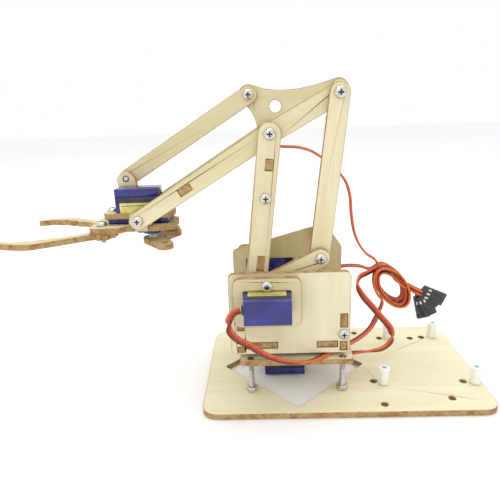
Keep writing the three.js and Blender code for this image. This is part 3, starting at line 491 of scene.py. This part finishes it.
def smooth_line(points, step=1.4):
    """A centripetal Catmull-Rom curve through millimetre points, evenly sampled."""
    line = [Vector(p) for p in points]
    line = [2 * line[0] - line[1]] + line + [2 * line[-1] - line[-2]]
    samples = []
    for p0, p1, p2, p3 in zip(line, line[1:], line[2:], line[3:]):
        t0 = 0.0
        t1 = t0 + max((p1 - p0).length, 1e-6) ** 0.5
        t2 = t1 + max((p2 - p1).length, 1e-6) ** 0.5
        t3 = t2 + max((p3 - p2).length, 1e-6) ** 0.5
        count = max(1, round((p2 - p1).length / step))
        for i in range(count):
            t = t1 + (t2 - t1) * i / count
            a1 = p0 * ((t1 - t) / (t1 - t0)) + p1 * ((t - t0) / (t1 - t0))
            a2 = p1 * ((t2 - t) / (t2 - t1)) + p2 * ((t - t1) / (t2 - t1))
            a3 = p2 * ((t3 - t) / (t3 - t2)) + p3 * ((t - t2) / (t3 - t2))
            b1 = a1 * ((t2 - t) / (t2 - t0)) + a2 * ((t - t0) / (t2 - t0))
            b2 = a2 * ((t3 - t) / (t3 - t1)) + a3 * ((t - t1) / (t3 - t1))
            samples.append(b1 * ((t2 - t) / (t2 - t1)) + b2 * ((t - t1) / (t2 - t1)))
    samples.append(line[-2].copy())
    return samples


def ribbon_section():
    """The outline of three wires side by side, and which wire each point belongs to."""
    outline = []
    for wire, centre in enumerate((-WIRE_GAP, 0, WIRE_GAP)):
        first, last = (180 if wire == 0 else 150), (0 if wire == 2 else 30)
        for degrees in range(first, last - 1, -30):
            angle = math.radians(degrees)
            outline.append((centre + WIRE_R * math.cos(angle), WIRE_R * math.sin(angle), wire))
    under = [(u, -v, wire) for u, v, wire in reversed(outline[1:-1])]
    return outline + under


SECTION = ribbon_section()


def ribbon(name, points, widths, body=None):
    """A three-wire ribbon along the points. widths are (share of its points, width direction)."""
    samples = smooth_line(points)
    count = len(samples)
    bm = bmesh.new()
    rings = []
    for i, at in enumerate(samples):
        ahead = (samples[min(i + 1, count - 1)] - samples[max(i - 1, 0)]).normalized()
        share = i / (count - 1)
        across = widths[-1][1]
        for (s0, w0), (s1, w1) in zip(widths, widths[1:]):
            if s0 <= share <= s1:
                across = w0.lerp(w1, (share - s0) / (s1 - s0))
                break
        across = (across - ahead * across.dot(ahead)).normalized()
        over = ahead.cross(across)
        centre = place(*at)
        rings.append([bm.verts.new(centre + (across * u + over * v) * MM) for u, v, _ in SECTION])
    sides = len(SECTION)
    for low, high in zip(rings, rings[1:]):
        for i in range(sides):
            j = (i + 1) % sides
            face = bm.faces.new((low[i], low[j], high[j], high[i]))
            face.material_index = SECTION[i][2]
    for ring in (rings[0], rings[-1]):
        bm.faces.new(ring)
    piece = make(name, bm, WIRES, body, smooth=1.4)
    return piece, [place(*p) for p in samples]


def connector(name, at, turn):
    """A three-way crimp housing: ribs, three windows and a socket end."""
    bm = bmesh.new()
    add_box(bm, (-7, -1.25, -3.7), (7, 1.25, 3.7), 0.25)
    for row in (-2.45, 0, 2.45):
        add_box(bm, (-6.2, 1.2, row - 0.8), (1.5, 1.3, row + 0.8), 0.04, 1)
        add_box(bm, (-7.02, -0.55, row - 0.55), (-6.6, 0.55, row + 0.55), 0.05, 1)
        add_box(bm, (2.2, 1.18, row - 0.5), (4.2, 1.3, row + 0.5), 0.04, 2)
    spin = Matrix.Rotation(-turn, 4, "Y")
    bmesh.ops.transform(bm, matrix=Matrix.Translation(place(*at)) @ spin @ Matrix.Scale(MM, 4),
                        verts=bm.verts)
    piece = make(name, bm, [HOUSING, LABEL_DARK, STEEL], "turntable")
    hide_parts("lead_connectors")
    return piece


CONNECTORS = [
    ((-80.5, -9, 41), 0.42), ((-78.8, -11, 38.2), 0.75), ((-77.3, -9.3, 35.2), 1.1),
    ((-75.6, -11.3, 33.2), 1.35)]


def connector_end(index):
    """Where the ribbon enters a connector: the middle of its end nearest the bundle."""
    (x, y, z), turn = CONNECTORS[index]
    return (x + 7.2 * math.cos(turn), y, z + 7.2 * math.sin(turn))


SIDE_WIDTHS = [(0, Z), (0.12, Z), (0.3, Y), (1, Y)]
BASE_WIDTHS = [(0, Y), (0.1, Y), (0.2, Z), (0.35, Z), (0.5, Y), (1, Y)]
# lead: its first angle on the bundle, turns, insets, places across the bundle and connector
WINDS = {
    "left_lead": (-0.17, 1.53, (0.6, 3.0), (-4, -8), 0),
    "right_lead": (1.94, 2.19, (2.0, 5.0), (-15.5, -11), 1),
    "base_lead": (1.94, 2.2, (1.2, 5.2), (-8.5, -13), 2),
    "gripper_lead": (1.75, 1.22, (2.4, 4.6), (-8.8, -5.2), 3),
}


def wound(lead, route):
    """The rest of a lead: its winding on the bundle and its run to a connector."""
    first, turns, insets, across, plug = WINDS[lead]
    last = first + turns * TURN
    near = turn_point(last, insets[1], across[1])
    end = connector_end(plug)
    middle = tuple((a + b) / 2 for a, b in zip(near, end))
    return route + winding(first, last, *insets, *across) + [middle, end]


def add_leads():
    housings = [connector(f"connector_{i + 1}", at, turn)
                for i, (at, turn) in enumerate(CONNECTORS)]
    for lead, widths in (("left_lead", SIDE_WIDTHS), ("right_lead", SIDE_WIDTHS),
                         ("base_lead", BASE_WIDTHS)):
        on_base = lead == "base_lead"
        piece, line = ribbon(lead + "_ribbon", wound(lead, LEAD_POINTS[lead]), widths,
                             None if on_base else "turntable")
        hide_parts(lead, "lead_bundle")
        if on_base:
            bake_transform(piece)

    route = LEAD_POINTS["gripper_lead"]
    for name, first, last, a, b, start, end in (
            ("gripper_lead_1", 0, 5, "gripper", "forearm", 0, 4),
            ("gripper_lead_2", 5, 10, "forearm", "level_triangle", 6, 10),
            ("gripper_lead_3", 10, 15, "level_triangle", "upper_arm", 10, 14)):
        piece, line = ribbon(name, route[first:last + 1], [(0, Y), (1, Y)])
        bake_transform(piece)
        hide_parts("gripper_lead")
    piece, line = ribbon("gripper_lead_4", wound("gripper_lead", route[15:]), [(0, Y), (1, Y)])
    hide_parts("gripper_lead")
    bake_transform(piece)


add_leads()


# ---- screws ----
HEAD_R = 2.8
HEAD_TALL = 1.9


def add_pan_head(bm, matrix):
    """A domed head with a cross recess, its underside at z = 0."""
    radius, tall = HEAD_R, HEAD_TALL
    dome = [(1.4, 0), (radius, 0), (radius, tall * 0.4), (radius * 0.93, tall * 0.62),
            (radius * 0.78, tall * 0.82), (radius * 0.55, tall * 0.95), (radius * 0.5, tall)]
    add_lathe(bm, dome, 28, 0, matrix)
    # the recess: a cross-shaped pit between the rim of the flat top and its floor; its walls and floor take the
    # second material, darker steel as painted shade in the pit
    arm, waist, depth = radius * 0.46, radius * 0.13, tall * 0.6
    rim, edge = [], []
    for quarter in range(4):
        c, s = math.cos(quarter * math.pi / 2), math.sin(quarter * math.pi / 2)
        for x, y in ((waist, waist), (arm, waist), (arm, -waist)):
            edge.append((x * c + y * s, -x * s + y * c))
    ordered = sorted(edge, key=lambda p: math.atan2(p[1], p[0]))
    count = len(ordered)
    for x, y in ordered:
        angle = math.atan2(y, x)
        rim.append(bm.verts.new((radius * 0.5 * math.cos(angle), radius * 0.5 * math.sin(angle), tall)))
    mouth = [bm.verts.new((x, y, tall)) for x, y in ordered]
    floor = [bm.verts.new((x * 0.7, y * 0.7, tall - depth)) for x, y in ordered]
    for i in range(count):
        j = (i + 1) % count
        bm.faces.new((rim[i], rim[j], mouth[j], mouth[i]))
        wall = bm.faces.new((mouth[i], mouth[j], floor[j], floor[i]))
        wall.material_index = 1
    bm.faces.new(floor).material_index = 1
    bmesh.ops.transform(bm, matrix=matrix, verts=rim + mouth + floor)


def add_nut(bm, matrix, across=5.5, tall=2.2, z=0.0):
    """A hexagon nut with chamfered corners round a threaded hole."""
    corner = across / 2 / math.cos(math.pi / 6)
    inner = 1.3
    profile = [(inner, z), (corner * 0.88, z), (corner, z + 0.3), (corner, z + tall - 0.3),
               (corner * 0.88, z + tall), (inner, z + tall)]
    add_lathe(bm, profile, 6, 0, matrix)


def screw(name, body, head, axis, length, nut_at=None, replaced=()):
    """A pan-head screw: head is the underside of the head, axis points out of the head."""
    bm = bmesh.new()
    matrix = frame_matrix(head, axis)
    add_pan_head(bm, matrix)
    add_thread(bm, 1.45, -length, 0.0, matrix)
    add_lathe(bm, [(0, -length), (1.0, -length), (1.2, -length + 0.2), (1.2, 0)], 14, 0, matrix)
    if nut_at is not None:
        add_nut(bm, matrix, z=-nut_at - 2.2)
    piece = make(name, bm, [STEEL, SHADED_RECESS_STEEL], body)
    for node in replaced:
        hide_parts(node)


HEAD = HEAD_TALL * MM


def side_screw(node, side, nut_at=None):
    """The detailed screw for a CAD screw that runs across the arm."""
    low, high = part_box(node)
    middle = (Vector(low) + Vector(high)) / 2
    end = high[1] - HEAD if side > 0 else low[1] + HEAD
    length = (high[1] - low[1]) / MM - HEAD_TALL
    screw(node + "_pan", BODY_OF[node], Vector((middle.x, end, middle.z)), Y * side, length,
          nut_at, replaced=[node])


for node, side in (("elbow_screw_left", 1), ("elbow_screw_right", -1), ("crank_screw", 1),
                   ("triangle_screw_front", 1), ("triangle_screw_rear", 1),
                   ("forearm_rear_screw", 1), ("wrist_screw_left", 1), ("wrist_screw_right", -1),
                   ("front_link_screw", -1)):
    side_screw(node, side)
for node in ("jaw_left_screw", "jaw_right_screw"):
    low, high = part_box(node)
    top = Vector(((low[0] + high[0]) / 2, (low[1] + high[1]) / 2, high[2] - HEAD))
    length = (high[2] - low[2]) / MM - HEAD_TALL
    screw(node + "_pan", BODY_OF[node], top, Z, length, replaced=[node])


def small_screws():
    """The screws that hold the servo collars, the rear plate and the upper arm's middle."""
    for side, name in ((1, "left"), (-1, "right")):
        low, high = (Vector(corner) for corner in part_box(name + "_collar"))
        wall_low, wall_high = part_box(name + "_side_plate")
        outer, inner, face = (high.y, wall_low[1], wall_high[1]) if side > 0 else (
            low.y, wall_high[1], wall_low[1])
        grip = abs(outer - inner) / MM
        centre = (low + high) / 2
        for end, rise in (("low", -8.9), ("top", 8.9)):
            at = Vector((centre.x, outer, centre.z + rise * MM))
            screw(f"{name}_collar_screw_{end}", "turntable", at, Y * side, grip + 3, nut_at=grip)
        rear = place(-24.3, 0, 35.2)
        rear.y = face
        screw(name + "_rear_plate_screw", "turntable", rear, Y * side, 2.9)
    middle = place(13.8, 0, 104.6)
    middle.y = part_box("upper_arm_left")[1][1]
    screw("upper_arm_screw", "upper_arm", middle, Y, 0.2)
    low, high = (Vector(corner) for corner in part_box("gripper_collar"))
    centre = (low + high) / 2
    for end, shift in (("front", 15.2), ("rear", -15.2)):
        at = Vector((centre.x + shift * MM, centre.y, high.z))
        screw("gripper_collar_screw_" + end, "gripper", at, Z, 2.9)


def fixed_pivot_screw():
    bm = bmesh.new()
    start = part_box("fixed_link_screw")[0][1]
    at = Vector((PIVOT["fixed_pivot"].x, start, PIVOT["fixed_pivot"].z))
    matrix = frame_matrix(at, Y)
    add_lathe(bm, [(0, 0), (1.5, 0), (1.5, 3.6), (2.6, 3.6), (2.6, 4.7), (1.5, 4.7), (1.5, 8.3)],
              20, 0, matrix)
    add_pan_head(bm, matrix @ Matrix.Translation((0, 0, 8.2)))
    piece = make("fixed_link_screw_pan", bm, [STEEL, SHADED_RECESS_STEEL], "turntable")
    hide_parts("fixed_link_screw")


fixed_pivot_screw()
small_screws()


def post(index):
    """A long screw up through the deck, with a nut on the base plate."""
    node = f"post_screw_{index}"
    low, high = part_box(node)
    foot = Vector(((low[0] + high[0]) / 2, (low[1] + high[1]) / 2, low[2]))
    bm = bmesh.new()
    matrix = frame_matrix(foot, Z)
    tall = (high[2] - low[2]) / MM
    add_lathe(bm, [(0, 0), (1.15, 0), (1.25, 0.2), (1.25, tall - 0.2), (1.1, tall), (0, tall)],
              14, 0, matrix)
    add_thread(bm, 1.5, 0.1, tall - 0.1, matrix)
    add_nut(bm, matrix, 5.5, 2.4, 3.3)
    piece = make(node + "_rod", bm, [STEEL, SHADED_RECESS_STEEL], "base")
    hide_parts(node)


for index in range(1, 5):
    post(index)


def standoff(index):
    """A nylon hexagon standoff: a threaded hole in its top, its stud through the plate."""
    node = f"standoff_{index}"
    low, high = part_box(node)
    foot = Vector(((low[0] + high[0]) / 2, (low[1] + high[1]) / 2, low[2]))
    bm = bmesh.new()
    matrix = frame_matrix(foot, Z)
    shoulder, top = 3.3, 12.98
    corner, bore = 3.08, 1.35
    add_lathe(bm, [(1.2, shoulder), (corner * 0.93, shoulder), (corner, shoulder + 0.3),
                   (corner, top - 0.3), (corner * 0.9, top)], 6, 0, matrix)
    mouth = [(corner * 0.9, top), (bore + 0.2, top), (bore, top - 0.2), (bore, top - 5), (0, top - 5)]
    add_lathe(bm, mouth, 6, 0, matrix)
    add_thread(bm, bore + 0.25, top - 4.5, top - 0.3, matrix)
    add_thread(bm, 1.5, 0.1, shoulder, matrix)
    add_lathe(bm, [(0, 0.05), (1.25, 0.05), (1.25, shoulder)], 14, 0, matrix)
    piece = make(node + "_hex", bm, [NYLON], "base")
    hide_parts(node)


for index in range(1, 5):
    standoff(index)


# ---- servos ----
SERVO_LONG, SERVO_WIDE, SERVO_TALL = 22.8, 12.2, 22.7
SHAFT_END = 5.9
EAR_LOW, EAR_TOP, EAR_SPAN = 15.9, 18.4, 32.2


def servo_mesh():
    """A 9 g servo in millimetres: shaft along +Z at the origin, cable end at z = 0."""
    bm = bmesh.new()
    rear, front = SHAFT_END - SERVO_LONG, SHAFT_END
    half = SERVO_WIDE / 2
    middle = (rear + front) / 2
    seam = 0.12
    lid = 4.2
    add_box(bm, (rear, -half, 0), (front, half, lid - seam), 0.5, BLUE)
    # thin dark strips where the case's parts meet: painted shade in the seams
    add_box(bm, (rear + seam, -half + seam, lid - seam), (front - seam, half - seam, lid + seam),
            0, SHADED_SEAM_I)
    add_box(bm, (rear, -half, lid + seam), (front, half, EAR_TOP - seam), 0.3, BLUE)
    add_box(bm, (rear + seam, -half + seam, EAR_TOP - seam),
            (front - seam, half - seam, EAR_TOP + seam), 0, SHADED_SEAM_I)
    add_box(bm, (rear, -half, EAR_TOP + seam), (front, half, SERVO_TALL), 0.5, BLUE)
    # mounting ears, each with a square hole
    for end in (-1, 1):
        inner = middle + end * SERVO_LONG / 2
        outer = middle + end * EAR_SPAN / 2
        hole = middle + end * 14
        x0, x1 = sorted((inner, outer))
        for side in (-1, 1):
            y0, y1 = sorted((side * 1.0, side * half))
            add_box(bm, (x0, y0, EAR_LOW), (x1, y1, EAR_TOP), 0.25, BLUE)
        y0, y1 = -1.05, 1.05
        a, b = sorted((inner, hole - end * 1.0))
        add_box(bm, (a, y0, EAR_LOW + 0.02), (b, y1, EAR_TOP - 0.02), 0, BLUE)
        a, b = sorted((hole + end * 1.0, outer))
        add_box(bm, (a + 0.05, -1.05, EAR_LOW + 0.05), (b - 0.05, 1.05, EAR_TOP - 0.05), 0, BLUE)
    # a label on each wide face: a gold panel with a dark band and two thin lines
    for side in (-1, 1):
        face = side * (half + 0.03)
        y0, y1 = sorted((face, side * (half - 0.02)))
        x0, x1, top = rear + 2.2, front - 2.0, EAR_LOW - 0.6
        add_box(bm, (x0, y0, lid + 0.6), (x1, y1, top), 0, GOLD_I)
        y0, y1 = sorted((face + side * 0.02, side * half))
        add_box(bm, (x0, y0, lid + 0.6), (x1, y1, lid + 3.2), 0, DARK_I)
        for height in (lid + 4.6, top - 1.6):
            add_box(bm, (x0 + 1.2, y0, height), (x1 - 1.2, y1, height + 0.35), 0, DARK_I)
    # corner screws in the lid, their recesses darkened as painted shade
    for cx in (rear + 1.5, front - 1.5):
        for cy in (-half + 1.5, half - 1.5):
            at = Matrix.Translation((cx, cy, 0.06)) @ Matrix.Rotation(math.pi, 4, "X")
            add_lathe(bm, [(0.95, 0), (0.9, 0.03), (0.35, 0.04)], 14, STEEL_I, at)
            add_lathe(bm, [(0.35, 0.04), (0.0, 0.0)], 4, SHADED_RECESS_I, at)
    # output boss, gear hump, splined shaft
    add_lathe(bm, [(5.85, 22.5), (5.85, 22.9), (5.6, 23.1), (5.6, 24.3), (5.3, 24.7), (2.6, 24.7),
                   (2.5, 24.4), (2.3, 24.4)], 40, BLUE)
    hump = Matrix.Translation((-6.2, 0, 0))
    add_lathe(bm, [(2.5, 22.5), (2.5, 24.4), (2.2, 24.7), (0, 24.7)], 24, BLUE, hump)
    teeth = 21
    spline = []
    for i in range(teeth * 2):
        radius = 2.3 if i % 2 == 0 else 2.05
        angle = math.pi * i / teeth
        spline.append((radius * math.cos(angle), radius * math.sin(angle)))
    low = [bm.verts.new((x, y, 24.3)) for x, y in spline]
    high = [bm.verts.new((x, y, 28.5)) for x, y in spline]
    count = len(spline)
    for i in range(count):
        j = (i + 1) % count
        bm.faces.new((low[i], low[j], high[j], high[i])).material_index = WHITE_I
    bm.faces.new(high).material_index = WHITE_I
    # cable outlet
    add_box(bm, (front - 0.4, -2.2, 4.3), (front + 1.1, 2.2, 6.5), 0.3, DARK_I)
    bm.normal_update()
    mesh = bpy.data.meshes.new("servo")
    bmesh.ops.recalc_face_normals(bm, faces=bm.faces)
    for face in bm.faces:
        face.smooth = True
    for edge in bm.edges:
        if len(edge.link_faces) != 2 or edge.calc_face_angle(0) > 0.6:
            edge.smooth = False
    bmesh.ops.scale(bm, vec=(MM, MM, MM), verts=bm.verts)
    bm.to_mesh(mesh)
    bm.free()
    for surface in SERVO_SURFACES:
        mesh.materials.append(surface)
    return mesh


SERVO_MESH = servo_mesh()


def servo(node, shaft, rearward):
    """Stands for a CAD servo whose shaft points along shaft and whose body trails rearward."""
    low, high = (Vector(corner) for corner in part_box(node))
    across = shaft.cross(-rearward)
    turn = Matrix((-rearward, across, shaft)).transposed()
    centre = (low + high) / 2
    # the node's box spans the ears lengthwise and the case and shaft in height
    local = Vector(((SHAFT_END - SERVO_LONG / 2), 0, 28.6 / 2)) * MM
    piece = bpy.data.objects.new(node + "_case", SERVO_MESH)
    bpy.context.scene.collection.objects.link(piece)
    piece.matrix_world = Matrix.Translation(centre - turn @ local) @ turn.to_4x4()
    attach(piece, BODY_OF[node])
    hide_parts(node)


servo("base_servo", Z, X)
servo("left_servo", -Y, -X)
servo("right_servo", Y, -X)
servo("gripper_servo", -Z, X)


def servo_horn(node, body):
    """The CAD horn with softened edges."""
    bm = bmesh.new()
    bm.from_mesh(frame["nodes"][node].data)
    bmesh.ops.remove_doubles(bm, verts=bm.verts, dist=MERGE)
    rims = [e for e in bm.edges if len(e.link_faces) == 2 and e.calc_face_angle(0) > 0.8]
    bmesh.ops.bevel(bm, geom=rims, offset=0.12 * MM, segments=2, affect="EDGES", clamp_overlap=True)
    piece = make(node + "_white", bm, [HORN], body)
    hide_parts(node)


for node in ("shoulder_horn", "elbow_horn"):
    servo_horn(node, BODY_OF[node])


# ---- light and floor ----
def add_floor():
    bm = bmesh.new()
    bmesh.ops.create_grid(bm, x_segments=8, y_segments=8, size=3.0)
    bmesh.ops.translate(bm, vec=(0, 0, -0.0003), verts=bm.verts)
    s = Surface("floor_white", Roughness=0.9)
    s.color(s.ramp(s.noise(s.coords, 3.0), [(0.3, (0.93, 0.93, 0.93)), (0.7, (0.95, 0.95, 0.95))]))
    make("floor", bm, [s.material], None)


def add_light(name, at, power, size, color=(1, 1, 1)):
    data = bpy.data.lights.new(name, "AREA")
    data.energy = power
    data.size = size
    data.color = color
    light = bpy.data.objects.new(name, data)
    bpy.context.scene.collection.objects.link(light)
    light.location = at
    aim = Vector((0.08, 0, 0.06)) - Vector(at)
    light.rotation_euler = aim.to_track_quat("-Z", "Y").to_euler()


add_floor()
world = bpy.data.worlds.new("studio")
world.use_nodes = True
world.node_tree.nodes["Background"].inputs[0].default_value = (1, 1, 1, 1)
world.node_tree.nodes["Background"].inputs[1].default_value = 1.0
bpy.context.scene.world = world
add_light("key", (0.45, 0.75, 0.95), 1.1, 0.7)
add_light("fill", (-0.7, 0.6, 0.6), 0.4, 0.9)
add_light("top", (0.05, -0.25, 1.1), 4.5, 1.0)
bpy.context.scene.view_settings.view_transform = "Standard"
